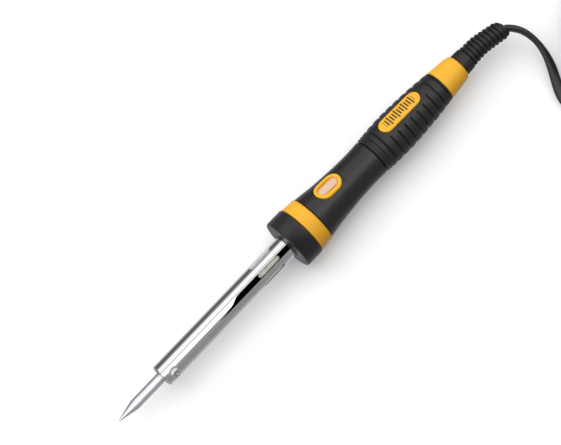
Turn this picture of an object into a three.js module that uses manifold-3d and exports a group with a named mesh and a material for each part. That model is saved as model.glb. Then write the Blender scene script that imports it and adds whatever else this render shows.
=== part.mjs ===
// A small mains soldering iron lying level, with its tip towards -X and its lead wound up beside it.
// Units are millimetres and +Z is up. The origin is on the bench, under the middle of the iron.
// Inside the iron group, x runs along the iron's axis: 0 at the heat collar's front face, + towards the lead.

import * as THREE from "three";
import { mergeVertices } from "three/addons/utils/BufferGeometryUtils.js";
import Module from "manifold-3d";

const wasm = await Module();
wasm.setup();

// ---- driving dimensions -------------------------------------------------------------------------

const ROUND = 24; // sides of every piece turned about the iron's axis
const SMALL = 8; // sides of screws, wires and other thin round pieces
const FIT = 0.3; // gap between pieces that bear on each other
const PART_GAP = 0.15; // gap between coaxial pieces that share the same facets

const TIP_X = -115.6; // point of the bit
const BIT_R = 2.7;
const BIT_CONE = 10.7; // length of the pointed end
const BIT_END_X = -40;

const BARREL_X = [-86.5, 5];
const BARREL_R = 6;
const BARREL_BORE = 5.5;
const SLOT_COUNT = 6;
const SLOT_X = -14.3; // middle of the cooling slots
const SLOT_SIZE = [13.8, 2.4];
const SLOT_TURN = 13.75; // roll of the first slot, in degrees from +Z towards -Y

const CLAMP_X = -81.2;
const CLAMP_TURN = 38.5; // roll of the clamp screw
const CLAMP_SHANK_R = 1.35;

const COLLAR_R = 13.9; // the collar is the widest piece, so the iron's axis lies this high
const COLLAR_X = [0, 9.7];
const BAND_X = [10, 17.55];

const FRONT_TURN = -25.4; // roll of the pilot lamp and the plate
const LAMP_X = 32.7;
const PLATE_X = 82.7;
const BEZEL_SIZE = [15.2, 10];
const LENS_SIZE = [11.2, 5.4];
const PLATE_SIZE = [26, 8];

const GRIP_X = [59.7, 107.2];
const GRIP_BED_R = 8.6; // radius of the handle under the grip sleeve
const HANDLE_BORE = 7;
const HANDLE_END_X = 110.9;
const FERRULE_X = [107.5, 121];
const BOOT_X = [113.4, 150.1];
const BOOT_BEND_X = 133.5; // the boot is straight up to here, then bends towards -Y
const BOOT_SOFT_X = 148; // its last stretch gives way more
const BOOT_BORE = 2.9;

const CORD_WIDTH = 5.2; // flat two-core lead
const CORD_THICKNESS = 3.2;
const CORD_TUBE_R = 1.7;

const COIL_CENTRE = [179, -47.5];
const COIL_RADIUS = [23.2, 34]; // middle of the innermost and outermost turns
const COIL_LAYERS_Z = [3.3, 8.8]; // the lead stands on edge in two layers
const COIL_EXIT_TURN = 240; // world angle at which the last turn leaves the coil
const TAIL_R = 22; // the lead's last bend, from the coil to the plug

const PLUG_BODY = { width: 34, thickness: 13.4, length: 34, tail: 13 };
const PLUG_PIN = { radius: 2, length: 19, spacing: 18.8 };
const PLUG_BOOT_LENGTH = 15.7;

// ---- finishes -----------------------------------------------------------------------------------

const finish = (color, roughness, metalness) => ({ color, roughness, metalness });
const CHROME = finish(0xd9dade, 0.12, 1);
const BIT_PLATING = finish(0xc4c4cc, 0.35, 1);
const STEEL = finish(0x9a9b9e, 0.4, 1);
const BRASS = finish(0xb9974a, 0.35, 1);
const HEATER_WIRE = finish(0x8c7a66, 0.5, 1);
const MICA = finish(0xb8a47c, 0.6, 0);
const CERAMIC = finish(0xe6e0d2, 0.5, 0);
const GLASS_SLEEVING = finish(0xe0d8c4, 0.9, 0);
const BLACK_PLASTIC = finish(0x1c1c1e, 0.45, 0);
const BLACK_RUBBER = finish(0x1a1a1c, 0.6, 0);
const YELLOW_PLASTIC = finish(0xf7b913, 0.4, 0);
const LENS_PLASTIC = finish(0xe3a07a, 0.25, 0);
const GLASS = finish(0xdfe3e2, 0.05, 0);
const CREAM_PLASTIC = finish(0xe9e2cd, 0.5, 0);
const BROWN_PVC = finish(0x5f3a22, 0.5, 0);
const BLUE_PVC = finish(0x2b63a8, 0.5, 0);
const BLACK_PVC = finish(0x18181a, 0.4, 0);

// ---- solids -------------------------------------------------------------------------------------

const radians = THREE.MathUtils.degToRad;

function solidOf(geometry) {
  const bare = geometry.clone();
  bare.deleteAttribute("normal");
  bare.deleteAttribute("uv");
  const merged = mergeVertices(bare, 1e-4);
  return new wasm.Manifold(
    new wasm.Mesh({
      numProp: 3,
      vertProperties: merged.attributes.position.array,
      triVerts: new Uint32Array(merged.index.array),
    }),
  );
}

function geometryOf(solid) {
  const mesh = solid.getMesh();
  const geometry = new THREE.BufferGeometry();
  geometry.setAttribute("position", new THREE.BufferAttribute(mesh.vertProperties, 3));
  geometry.setIndex(new THREE.BufferAttribute(mesh.triVerts, 1));
  geometry.computeVertexNormals();
  return geometry;
}

const cut = (blank, ...tools) =>
  geometryOf(tools.reduce((solid, tool) => solid.subtract(solidOf(tool)), solidOf(blank)));
const join = (first, ...rest) =>
  geometryOf(rest.reduce((solid, piece) => solid.add(solidOf(piece)), solidOf(first)));
const common = (a, b) => geometryOf(solidOf(a).intersect(solidOf(b)));

// Turns [x, radius] points about the x axis. A profile that leaves the axis open is closed on itself.
function turned(profile, sides = ROUND) {
  const solid = profile[0][1] === 0;
  const outline = solid ? profile : [...profile, profile[0]];
  const points = outline.map(([x, radius]) => new THREE.Vector2(radius, x));
  return new THREE.LatheGeometry(points, sides).rotateZ(-Math.PI / 2);
}

const rod = ([from, to], radius, sides = SMALL) =>
  turned([[from, 0], [from, radius], [to, radius], [to, 0]], sides);
const pipe = ([from, to], inner, outer, sides = ROUND) =>
  turned([[from, inner], [from, outer], [to, outer], [to, inner]], sides);
const offset = (outline, by) => outline.map(([x, radius]) => [x, radius + by]);

// Points of a smooth curve through a few [x, radius] stations.
function smooth(stations, divisions) {
  const curve = new THREE.SplineCurve(stations.map(([x, radius]) => new THREE.Vector2(x, radius)));
  return curve.getPoints(divisions).map((point) => [point.x, point.y]);
}

function slotShape([length, width], grow = 0) {
  const half = (length - width) / 2;
  const radius = width / 2 + grow;
  const shape = new THREE.Shape();
  shape.absarc(half, 0, radius, -Math.PI / 2, Math.PI / 2);
  shape.absarc(-half, 0, radius, Math.PI / 2, (3 * Math.PI) / 2);
  return shape;
}

// A prism that stands out from the iron's axis at station x, from one height to another, at a roll.
function radialPrism(shape, x, [low, high], turn) {
  return new THREE.ExtrudeGeometry(shape, { depth: high - low, bevelEnabled: false, curveSegments: 5 })
    .translate(0, 0, low)
    .translate(x, 0, 0)
    .rotateX(radians(turn));
}

function roundShape(radius, sides = SMALL) {
  const shape = new THREE.Shape();
  for (let i = 0; i < sides; i++) {
    const angle = (2 * Math.PI * i) / sides;
    const point = [radius * Math.cos(angle), radius * Math.sin(angle)];
    if (i === 0) shape.moveTo(...point);
    else shape.lineTo(...point);
  }
  shape.closePath();
  return shape;
}

const vector = ([x, y, z]) => new THREE.Vector3(x, y, z);
const route = (points) => new THREE.CatmullRomCurve3(points.map(vector), false, "centripetal");
const swept = (points, radius, sides, steps) =>
  new THREE.ExtrudeGeometry(roundShape(radius, sides), { extrudePath: route(points), steps, bevelEnabled: false });

// ---- scene graph --------------------------------------------------------------------------------

const solderingIron = new THREE.Group();
const iron = new THREE.Group();
iron.position.set(-(TIP_X + BOOT_X[1]) / 2, 0, COLLAR_R);
solderingIron.add(iron);

function place(name, geometry, look, parent = iron) {
  const mesh = new THREE.Mesh(geometry, new THREE.MeshStandardMaterial(look));
  mesh.name = name;
  parent.add(mesh);
  return mesh;
}

// ---- bit, barrel and clamp screw ----------------------------------------------------------------

function solderingBit() {
  const shoulder = TIP_X + BIT_CONE;
  return turned([
    [TIP_X, 0],
    [TIP_X + 0.35, 0.45],
    [shoulder - 0.4, BIT_R - 0.12],
    [shoulder + 0.4, BIT_R],
    [BIT_END_X - 0.3, BIT_R],
    [BIT_END_X, BIT_R - 0.3],
    [BIT_END_X, 0],
  ]);
}

function barrel() {
  const slots = Array.from({ length: SLOT_COUNT }, (_, i) =>
    radialPrism(slotShape(SLOT_SIZE), SLOT_X, [4, 7], SLOT_TURN + (360 / SLOT_COUNT) * i),
  );
  const screwHole = radialPrism(roundShape(1.9), CLAMP_X, [4, 7], CLAMP_TURN);
  return cut(pipe(BARREL_X, BARREL_BORE, BARREL_R), ...slots, screwHole);
}

function frontBush() {
  const blank = pipe([BARREL_X[0] + 0.8, BARREL_X[0] + 10.6], BIT_R + PART_GAP, BARREL_BORE - PART_GAP);
  return cut(blank, radialPrism(roundShape(1.6), CLAMP_X, [2, 7], CLAMP_TURN));
}

// The screw and its washer are drawn along +Z, with z counted from the iron's axis.
function clampScrew() {
  const crown = [[0, 8.2], [1.5, 8.05], [2.4, 7.5], [2.6, 6.9], [2.6, 6.65]];
  const profile = [[0, BIT_R + PART_GAP], [CLAMP_SHANK_R, BIT_R + PART_GAP], [CLAMP_SHANK_R, 6.65]];
  const points = [...profile, ...crown.reverse()].map(([r, z]) => new THREE.Vector2(r, z));
  const blank = new THREE.LatheGeometry(points, 16).rotateX(Math.PI / 2);
  const blade = () => new THREE.BoxGeometry(3, 0.6, 1.6);
  return cut(blank, blade().translate(0, 0, 8.2), blade().rotateZ(Math.PI / 2).translate(0, 0, 8.2));
}

function clampWasher() {
  const points = [[1.6, 6.1], [3.1, 6.1], [3.1, 6.5], [1.6, 6.5], [1.6, 6.1]];
  return new THREE.LatheGeometry(points.map(([r, z]) => new THREE.Vector2(r, z)), 16).rotateX(Math.PI / 2);
}

place("soldering_bit", solderingBit(), BIT_PLATING);
place("barrel", barrel(), CHROME);
place("front_bush", frontBush(), STEEL);

const clamp = new THREE.Group();
clamp.position.x = CLAMP_X;
clamp.rotation.x = radians(CLAMP_TURN);
iron.add(clamp);
place("clamp_screw", clampScrew(), STEEL, clamp);
place("clamp_washer", clampWasher(), STEEL, clamp);

// ---- heater, inside the barrel ------------------------------------------------------------------

const HEATER_X = [-69, -39];
const LEAD_Y = 2.4; // the two conductors run this far each side of the axis
const LEAD_Z = -0.6;

// A close winding of flat wire, drawn as rounded ridges.
function heaterWinding() {
  const turns = 8;
  const pitch = (HEATER_X[1] - HEATER_X[0]) / turns;
  const ridges = Array.from({ length: turns }, (_, i) => HEATER_X[0] + pitch * i).flatMap((x) => [
    [x, 4.0],
    [x + pitch * 0.25, 4.35],
    [x + pitch * 0.75, 4.35],
  ]);
  return turned([[HEATER_X[0], 3.9], ...ridges, [HEATER_X[1], 4.0], [HEATER_X[1], 3.9]], 12);
}

function heaterEndCap() {
  const holes = [LEAD_Y, -LEAD_Y].map((y) => rod([-35, -30], 0.8).translate(0, y, LEAD_Z));
  return cut(rod([-34.5, -31], 5.3, ROUND), ...holes);
}

place("bit_sleeve", pipe([BARREL_X[0] + 11, -36.8], BIT_R + PART_GAP, 3.3), STEEL);
place("mica_wrap", pipe([-71, -37], 3.4, 3.75), MICA);
place("heater_winding", heaterWinding(), HEATER_WIRE);
place("mica_cover", pipe([-71, -37], 4.6, 5.1), MICA);
place("heater_end_cap", heaterEndCap(), CERAMIC);
place("barrel_liner", pipe([-30.5, 3.5], 4.5, 4.9), STEEL); // shows through the cooling slots
[LEAD_Y, -LEAD_Y].forEach((y, i) => {
  place(`heater_lead_${i + 1}`, rod([-36.5, 62], 0.45).translate(0, y, LEAD_Z), STEEL);
  place(`lead_sleeve_${i + 1}`, pipe([-30.5, 55], 0.6, 1, SMALL).translate(0, y, LEAD_Z), GLASS_SLEEVING);
});

// ---- barrel flange, fixed to the handle by three screws -----------------------------------------

const FLANGE_SCREW_PCR = 8.8;
const FLANGE_SCREW_TURNS = [0, 120, 240];

const onScrewCircle = (geometry, turn) => geometry.translate(0, 0, FLANGE_SCREW_PCR).rotateX(radians(turn));
const screwHoles = (span, radius) => FLANGE_SCREW_TURNS.map((turn) => onScrewCircle(rod(span, radius), turn));

function barrelFlange() {
  const neck = BARREL_R + PART_GAP;
  const blank = turned([[2.5, neck], [2.5, 6.7], [4.1, 6.7], [4.1, 10.8], [5, 10.8], [5, neck]]);
  return cut(blank, ...screwHoles([3, 6], 1.35));
}

const flangeScrew = () => turned([[2.8, 0], [2.8, 1.5], [3.1, 1.9], [3.95, 1.9], [3.95, 1.1], [12, 1.1], [12, 0]], SMALL);

place("barrel_flange", barrelFlange(), STEEL);
place("heat_gasket", cut(pipe([5.2, 5.9], 5.6, 10.8), ...screwHoles([5, 7], 1.35)), MICA);
FLANGE_SCREW_TURNS.forEach((turn, i) => place(`flange_screw_${i + 1}`, onScrewCircle(flangeScrew(), turn), STEEL));

// ---- collar, band and handle --------------------------------------------------------------------

const SPIGOT_R = 11.3; // the collar and the band sit over this
const NECK_STATIONS = [[17.85, 12.5], [21.5, 12], [27.3, 11.2], [35, 10.5], [44.8, 9.87], [52.4, 9.73], [59.4, 10]];
const GRIP_STATIONS = [[59.7, 10.3], [66.3, 10.55], [76.3, 10.79], [86.5, 10.38], [94.8, 9.85], [107.2, 8.6]];
const neckOutline = smooth(NECK_STATIONS, 8);
const gripOutline = smooth(GRIP_STATIONS, 8);

function frontCollar() {
  const [front, back] = COLLAR_X;
  return turned([
    [front, BARREL_R + FIT],
    [front, COLLAR_R - 1],
    [front + 0.3, COLLAR_R - 0.3],
    [front + 1, COLLAR_R],
    [back, COLLAR_R],
    [back, SPIGOT_R + PART_GAP],
    [front + 6, SPIGOT_R + PART_GAP],
    [front + 2.2, 11],
    [front + 2.2, BARREL_R + FIT],
  ]);
}

// One deep moulding, open at both ends, with a wall near its front that the flange is screwed to.
function handleShell() {
  const [wallFront, wallBack] = [6.2, 9.2];
  const outside = [
    [wallFront, SPIGOT_R],
    [BAND_X[1] + FIT, SPIGOT_R],
    ...neckOutline,
    [GRIP_X[0] - FIT, GRIP_BED_R],
    [GRIP_X[1], GRIP_BED_R - 0.9],
    [GRIP_X[1], 7.3],
    [HANDLE_END_X, 7.3],
  ];
  const bore = [[HANDLE_END_X, 6.5], [GRIP_X[1], HANDLE_BORE], [60, HANDLE_BORE], [56, 8.3]];
  const inside = [...bore, [wallBack, 8.3], [wallBack, 5.2]];
  const blank = turned([[wallFront, 5.2], ...outside, ...inside]);
  const bosses = FLANGE_SCREW_TURNS.map((turn) => onScrewCircle(rod([wallBack - 0.5, 13.5], 2.2), turn));
  return cut(
    join(blank, ...bosses),
    ...screwHoles([6, 13], 1.2),
    inlay(slotShape(BEZEL_SIZE, FIT), LAMP_X, neckOutline, [9.5, 2]),
    radialPrism(slotShape(LENS_SIZE, FIT), LAMP_X, [7, 13], FRONT_TURN),
  );
}

// A piece let into the handle's skin, cut to the same curve as the skin around it. The curve's facets are
// turned with the piece, so they lie evenly about its middle and clear of its sides.
function inlay(shape, x, outline, [below, above]) {
  const ends = [outline[0][0], outline.at(-1)[0]];
  const profile = [[ends[0], below], ...offset(outline, above), [ends[1], below]];
  const skin = turned(profile).rotateX(radians(FRONT_TURN));
  return common(skin, radialPrism(shape, x, [below - 1, 14], FRONT_TURN));
}

function lampBezel() {
  const shape = slotShape(BEZEL_SIZE);
  shape.holes.push(slotShape(LENS_SIZE, FIT));
  return inlay(shape, LAMP_X, neckOutline, [9.8, 0.35]);
}

function gripSleeve() {
  const [front, back] = GRIP_X;
  const blank = turned([[front, GRIP_BED_R + PART_GAP], ...gripOutline, [back, GRIP_BED_R - 0.75]]);
  const pocket = inlay(slotShape(PLATE_SIZE, FIT), PLATE_X, gripOutline, [9.7, 2]);
  return cut(blank, pocket);
}

function rearFerrule() {
  const [front, back] = FERRULE_X;
  return turned([
    [front, 7.5],
    [front, 8.55],
    [front + 5.2, 8],
    [front + 9, 7.56],
    [back - 1, 6.85],
    [back - 0.2, 6.4],
    [back, 5.7],
    [back, 5.15],
    [back - 4.2, 5.15],
    [back - 4.2, 6.4],
    [back - 9.6, 6.4],
    [back - 9.6, 7.5],
  ]);
}

place("front_collar", frontCollar(), BLACK_PLASTIC);
place(
  "front_band",
  turned([[BAND_X[0], 11.5], [BAND_X[0], 13.5], [BAND_X[1], 12.85], [BAND_X[1], 11.5]]),
  YELLOW_PLASTIC,
);
place("handle_shell", handleShell(), BLACK_PLASTIC);
place("grip_sleeve", gripSleeve(), BLACK_RUBBER);
place("rating_plate", inlay(slotShape(PLATE_SIZE), PLATE_X, gripOutline, [10, 0.2]), YELLOW_PLASTIC);
place("lamp_bezel", lampBezel(), YELLOW_PLASTIC);
place("lamp_lens", inlay(slotShape(LENS_SIZE), LAMP_X, neckOutline, [8.6, 0.45]), LENS_PLASTIC);
place("rear_ferrule", rearFerrule(), YELLOW_PLASTIC);

// ---- pilot lamp circuit -------------------------------------------------------------------------

const LAMP_LEAD_R = 0.4;
const neon = { from: 29.5, to: 38.8, radius: 2, height: 5.2 };

function neonLamp() {
  const { from, to, radius } = neon;
  return turned([[from, 0], [from + 0.5, 0.9], [from + 1.6, 1.8], [from + 2.4, radius], [to, radius], [to, 0]], 16)
    .translate(0, 0, neon.height)
    .rotateX(radians(FRONT_TURN));
}

function lampResistor() {
  const body = [[43, LAMP_LEAD_R], [43.2, 1.15], [48.8, 1.15], [49, LAMP_LEAD_R]];
  return turned([[39.1, 0], [39.1, LAMP_LEAD_R], ...body, [50.3, LAMP_LEAD_R], [50.3, 0]], SMALL)
    .translate(0, 1.2, 4.4);
}

place("neon_lamp", neonLamp(), GLASS);
place("lamp_resistor", lampResistor(), CERAMIC);
place(
  "lamp_lead_1",
  swept([[39.1, 3.4, 4.65], [48, 3.1, 3.2], [55, 2.5, 1.1], [58, 2.4, 0.8], [62, 2.4, 0.8]], LAMP_LEAD_R, 8, 12),
  STEEL,
);
place(
  "lamp_lead_2",
  swept([[50.6, 1.2, 4.4], [53.5, -0.8, 2.8], [56, -2.2, 1], [58, -2.4, 0.8], [62, -2.4, 0.8]], LAMP_LEAD_R, 8, 12),
  STEEL,
);

// ---- terminals and cord clamp, inside the handle ------------------------------------------------

const BLOCK = { x: [57, 77], width: 9.6, height: 7.6, wireBore: 1.6, screwX: [61.5, 72.5] };

function terminalBlock() {
  const length = BLOCK.x[1] - BLOCK.x[0];
  const blank = new THREE.BoxGeometry(length, BLOCK.width, BLOCK.height).translate(BLOCK.x[0] + length / 2, 0, 0);
  const bores = [LEAD_Y, -LEAD_Y].map((y) => rod([BLOCK.x[0] - 1, BLOCK.x[1] + 1], BLOCK.wireBore).translate(0, y, 0));
  const wells = [LEAD_Y, -LEAD_Y].flatMap((y) =>
    BLOCK.screwX.map((x) => radialPrism(roundShape(1.5), x, [1, 5], 0).translate(0, y, 0)),
  );
  return cut(blank, ...bores, ...wells);
}

function supplyCore(side) {
  const points = [[68, LEAD_Y * side, 0], [78, LEAD_Y * side, 0], [84, 2 * side, 0.4 * side], [90, 0, 1.35 * side]];
  return swept([...points, [95.2, 0, 1.3 * side]], 1, 8, 14);
}

// The clamp's two cheeks pinch the lead from the sides. One carries the screw heads.
const CHEEK = { x: [97.5, 102.5], thickness: 1.5, height: 9.4, screwZ: 3.75 };

function clampCheek(side) {
  const length = CHEEK.x[1] - CHEEK.x[0];
  const middle = CHEEK.x[0] + length / 2;
  const y = side * (CORD_THICKNESS / 2 + FIT + CHEEK.thickness / 2);
  const blank = new THREE.BoxGeometry(length, CHEEK.thickness, CHEEK.height).translate(middle, y, 0);
  const hole = (z) =>
    new THREE.ExtrudeGeometry(roundShape(0.95, 8), { depth: 8, bevelEnabled: false })
      .translate(0, 0, -4)
      .rotateX(Math.PI / 2)
      .translate(middle, 0, z);
  return cut(blank, hole(CHEEK.screwZ), hole(-CHEEK.screwZ));
}

function clampCheekScrew(z) {
  const points = [[0, -3.4], [0.8, -3.4], [0.8, 3.6], [1.15, 3.6], [1.15, 4.3], [0, 4.5]];
  return new THREE.LatheGeometry(points.map(([r, y]) => new THREE.Vector2(r, y)), 10)
    .translate((CHEEK.x[0] + CHEEK.x[1]) / 2, 0, z);
}

place("terminal_block", terminalBlock(), CREAM_PLASTIC);
[LEAD_Y, -LEAD_Y].forEach((y, row) =>
  BLOCK.screwX.forEach((x, column) => {
    const screw = radialPrism(roundShape(1.25, 10), x, [1.7, 3.5], 0).translate(0, y, 0);
    place(`terminal_screw_${2 * row + column + 1}`, screw, BRASS);
  }),
);
place("supply_core_brown", supplyCore(1), BROWN_PVC);
place("supply_core_blue", supplyCore(-1), BLUE_PVC);
place("cord_clamp_cheek_1", clampCheek(1), STEEL);
place("cord_clamp_cheek_2", clampCheek(-1), STEEL);
place("cord_clamp_screw_1", clampCheekScrew(CHEEK.screwZ), STEEL);
place("cord_clamp_screw_2", clampCheekScrew(-CHEEK.screwZ), STEEL);

// ---- boot and the lead inside it ----------------------------------------------------------------

const BOOT_RIBS = 9;
const RIB_PITCH = 2.35;
const RIBS_FROM = 127.3;

// How far the boot and the lead in it lean towards -Y at a station: a long easy bend, then the soft end.
function bootLean(x) {
  const along = Math.max(0, x - BOOT_BEND_X);
  const soft = Math.max(0, x - BOOT_SOFT_X);
  return (0.21 * along * along) / (along + 3) + 0.09 * soft * soft;
}

function leaned(geometry) {
  const position = geometry.getAttribute("position");
  for (let i = 0; i < position.count; i++) {
    position.setY(i, position.getY(i) - bootLean(position.getX(i)));
  }
  return geometry;
}

function cordBoot() {
  const [front, back] = BOOT_X;
  const ribs = Array.from({ length: BOOT_RIBS }, (_, i) => {
    const x = RIBS_FROM + RIB_PITCH * i;
    const radius = 5.5 - 0.06 * i;
    return [[x, radius - 0.8], [x + 0.8, radius], [x + 1.6, radius]];
  }).flat();
  return leaned(
    turned([
      [front, BOOT_BORE],
      [front, 6],
      [front + 3, 6],
      [front + 3, 4.9],
      [FERRULE_X[1] + FIT, 4.9],
      [FERRULE_X[1] + FIT, 6.15],
      [124, 6.1],
      ...ribs,
      [back - 1.6, 4.9],
      [back - 0.6, 4.3],
      [back, 3.4],
      [back, BOOT_BORE],
      [140, BOOT_BORE],
      [134, BOOT_BORE],
    ], 16),
  );
}

// The lead stands on edge in the boot: its wide way is along Z.
function cordInBoot() {
  const [halfWide, halfThick] = [CORD_WIDTH / 2, CORD_THICKNESS / 2];
  const corners = [[halfWide, 0.8], [1.8, halfThick], [-1.8, halfThick], [-halfWide, 0.8]];
  const outline = [...corners, ...corners.map(([z, y]) => [-z, -y])];
  const shape = new THREE.Shape(outline.map(([z, y]) => new THREE.Vector2(z, y)));
  const length = BOOT_X[1] - 95.5;
  return leaned(
    new THREE.ExtrudeGeometry(shape, { depth: length, steps: 14, bevelEnabled: false })
      .rotateY(Math.PI / 2)
      .translate(95.5, 0, 0),
  );
}

place("cord_boot", cordBoot(), BLACK_RUBBER);
place("cord_in_boot", cordInBoot(), BLACK_PVC);

// ---- the free lead: its route on the bench, its coil and its plug -------------------------------

// Middle of the lead from the boot's end, down to the bench and round to the coil.
const CORD_ROUTE = [
  [134.2, -4.3, 13.7],
  [136, -6.5, 13.3],
  [137.9, -9.6, 12.5],
  [139, -13, 11.4],
  [139.6, -16.7, 10],
  [139.6, -20.6, 8.6],
  [138.8, -25, 7.1],
  [137.4, -29.3, 5.8],
  [135.4, -33.5, 4.8],
  [133, -37.7, 4],
  [130.6, -41.8, 3.3],
  [128.8, -46.5, 2.6],
  [128.6, -52, 2.1],
  [130.2, -57.7, 1.9],
  [133, -63, 1.9],
  [137.4, -68, 2.1],
  [143.4, -72.4, 2.5],
  [150.8, -76, 2.8],
];

const [centreX, centreY] = COIL_CENTRE;
const COIL_BOX = { inner: COIL_RADIUS[0] - 1.8, outer: COIL_RADIUS[1] + 1.8, low: 0.7, high: 11.5 };

// A point of the rising bend from the coil's last turn into the plug, with turn counted in degrees.
function tailPoint(turn) {
  const offCentre = COIL_RADIUS[1] - TAIL_R;
  const start = radians(COIL_EXIT_TURN);
  const angle = radians(COIL_EXIT_TURN + turn);
  const rise = PLUG_Z - COIL_LAYERS_Z[1];
  return [
    centreX + offCentre * Math.cos(start) + TAIL_R * Math.cos(angle),
    centreY + offCentre * Math.sin(start) + TAIL_R * Math.sin(angle),
    COIL_LAYERS_Z[1] + rise * Math.sin((Math.PI / 2) * (turn / TAIL_SWEEP)),
  ];
}

const TAIL_SWEEP = 360 - COIL_EXIT_TURN; // the bend ends heading along +Y
const PLUG_Z = COIL_BOX.high + FIT + PLUG_BODY.thickness / 2;

function coilRing() {
  const { inner, outer, low, high } = COIL_BOX;
  const bevel = 1.2;
  const outline = [
    [inner, low + bevel],
    [inner + bevel, low],
    [outer - bevel, low],
    [outer, low + bevel],
    [outer, high - bevel],
    [outer - bevel, high],
    [inner + bevel, high],
    [inner, high - bevel],
    [inner, low + bevel],
  ];
  return new THREE.LatheGeometry(outline.map(([r, z]) => new THREE.Vector2(r, z)), 32).rotateX(Math.PI / 2);
}

// A hook-and-loop strap round the bundle.
function coilTie() {
  const [halfWide, low, high, strap] = [7.7, 0.5, 11.8, 0.4];
  const box = (grow) => {
    const shape = new THREE.Shape();
    shape.moveTo(-halfWide - grow, low - grow);
    shape.lineTo(halfWide + grow, low - grow);
    shape.lineTo(halfWide + grow, high + grow);
    shape.lineTo(-halfWide - grow, high + grow);
    shape.closePath();
    return shape;
  };
  const loop = box(strap);
  loop.holes.push(box(0));
  return new THREE.ExtrudeGeometry(loop, { depth: 6, bevelEnabled: false })
    .translate(0, 0, -3)
    .rotateX(Math.PI / 2);
}

function tailRoute() {
  const bend = [38, 50, 65, 80, 95, 108, 120].map(tailPoint);
  const [x, y, z] = bend.at(-1);
  return [...bend, [x, y + 2, z]];
}

place("cord", swept(CORD_ROUTE, CORD_TUBE_R, 8, 26), BLACK_PVC, solderingIron);
const coil = place("cord_coil", coilRing(), BLACK_PVC, solderingIron);
coil.position.set(centreX, centreY, 0);

const tieTurn = radians(160);
const tie = place("coil_tie", coilTie(), BLACK_RUBBER, solderingIron);
const tieRadius = (COIL_RADIUS[0] + COIL_RADIUS[1]) / 2;
tie.position.set(centreX + tieRadius * Math.cos(tieTurn), centreY + tieRadius * Math.sin(tieTurn), 0);
tie.rotation.z = tieTurn;

place("cord_tail", swept(tailRoute(), CORD_TUBE_R, 8, 12), BLACK_PVC, solderingIron);

// The plug is drawn with y along its pins, from the back of its boot.
const plug = new THREE.Group();
const [plugX, plugY] = tailPoint(TAIL_SWEEP);
plug.position.set(plugX, plugY + 2 + FIT, PLUG_Z);
solderingIron.add(plug);

function plugBoot() {
  const ribs = [3, 6, 9, 12].flatMap((y) => [[3.4, y], [3.6 + y * 0.1, y + 0.8], [3.6 + y * 0.1, y + 2]]);
  const points = [[0, 0], [3.2, 0], ...ribs, [3.6, PLUG_BOOT_LENGTH], [0, PLUG_BOOT_LENGTH]];
  return new THREE.LatheGeometry(points.map(([r, y]) => new THREE.Vector2(r, y)), 12);
}

function plugBody() {
  const { width, thickness, length, tail } = PLUG_BODY;
  const half = width / 2;
  const bevel = 1.2;
  const side = [[tail / 2, 0], [half - 2, length * 0.55], [half, length * 0.68], [half, length]];
  const outline = [...side, ...side.map(([x, y]) => [-x, y]).reverse()];
  const shape = new THREE.Shape(outline.map(([x, y]) => new THREE.Vector2(x, y)));
  return new THREE.ExtrudeGeometry(shape, {
    depth: thickness - 2 * bevel,
    bevelThickness: bevel,
    bevelSize: bevel,
    bevelOffset: -bevel,
    bevelSegments: 2,
  }).translate(0, PLUG_BOOT_LENGTH + FIT, -thickness / 2 + bevel);
}

function plugPin(side) {
  const { radius, length, spacing } = PLUG_PIN;
  const points = [[0, 0], [radius, 0], [radius, length - 1], [radius - 1, length], [0, length]];
  const start = PLUG_BOOT_LENGTH + FIT + PLUG_BODY.length + FIT;
  return new THREE.LatheGeometry(points.map(([r, y]) => new THREE.Vector2(r, y)), 12)
    .translate((side * spacing) / 2, start, 0);
}

place("plug_boot", plugBoot(), BLACK_RUBBER, plug);
place("plug_body", plugBody(), BLACK_PVC, plug);
place("plug_pin_1", plugPin(-1), CHROME, plug);
place("plug_pin_2", plugPin(1), CHROME, plug);

export default solderingIron;
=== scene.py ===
# A small mains soldering iron, put together here in the order in which it is assembled.
# Sizes are in millimetres and become metres where a mesh is made. The iron's own x runs along its
# axis: 0 at the front of the heat collar, + towards the lead.

import math

import bmesh
import bpy
from mathutils import Matrix, Vector


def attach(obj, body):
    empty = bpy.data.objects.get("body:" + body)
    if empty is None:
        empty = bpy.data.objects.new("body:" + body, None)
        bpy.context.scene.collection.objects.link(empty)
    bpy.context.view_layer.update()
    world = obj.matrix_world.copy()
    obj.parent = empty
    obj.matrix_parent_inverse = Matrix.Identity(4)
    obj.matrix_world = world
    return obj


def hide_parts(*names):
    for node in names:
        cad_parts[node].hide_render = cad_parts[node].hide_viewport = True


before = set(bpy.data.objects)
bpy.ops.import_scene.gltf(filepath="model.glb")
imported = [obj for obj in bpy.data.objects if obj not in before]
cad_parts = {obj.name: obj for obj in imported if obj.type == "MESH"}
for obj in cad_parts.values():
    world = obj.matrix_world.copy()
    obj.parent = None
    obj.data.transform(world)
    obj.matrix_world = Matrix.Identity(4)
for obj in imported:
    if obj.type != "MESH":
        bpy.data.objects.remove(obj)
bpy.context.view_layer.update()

# ==== Camera ======================================================================================
# A long lens looks steeply down on the bench, with the iron running from lower left to upper right.

camera = bpy.data.objects.new("camera", bpy.data.cameras.new("camera"))
bpy.context.scene.collection.objects.link(camera)
bpy.context.scene.camera = camera
camera.data.sensor_width = 36
camera.data.lens = 204.8
camera.data.clip_start = 0.05
camera_distance = 1.5
camera_target = Vector((-0.0144, 0.0070, 0.0338))
camera_back = Vector((-0.156, -0.145, 0.977)).normalized()
camera_right = Vector((0.680, -0.733, 0.0))
camera_right = (camera_right - camera_right.dot(camera_back) * camera_back).normalized()
camera_up = camera_back.cross(camera_right)
camera_roll = 0.0052
camera_right = math.cos(camera_roll) * camera_right + math.sin(camera_roll) * camera_up
camera_up = camera_back.cross(camera_right)
camera.matrix_world = Matrix.Translation(camera_target + camera_distance * camera_back) @ Matrix(
    (camera_right, camera_up, camera_back)
).transposed().to_4x4()

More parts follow.
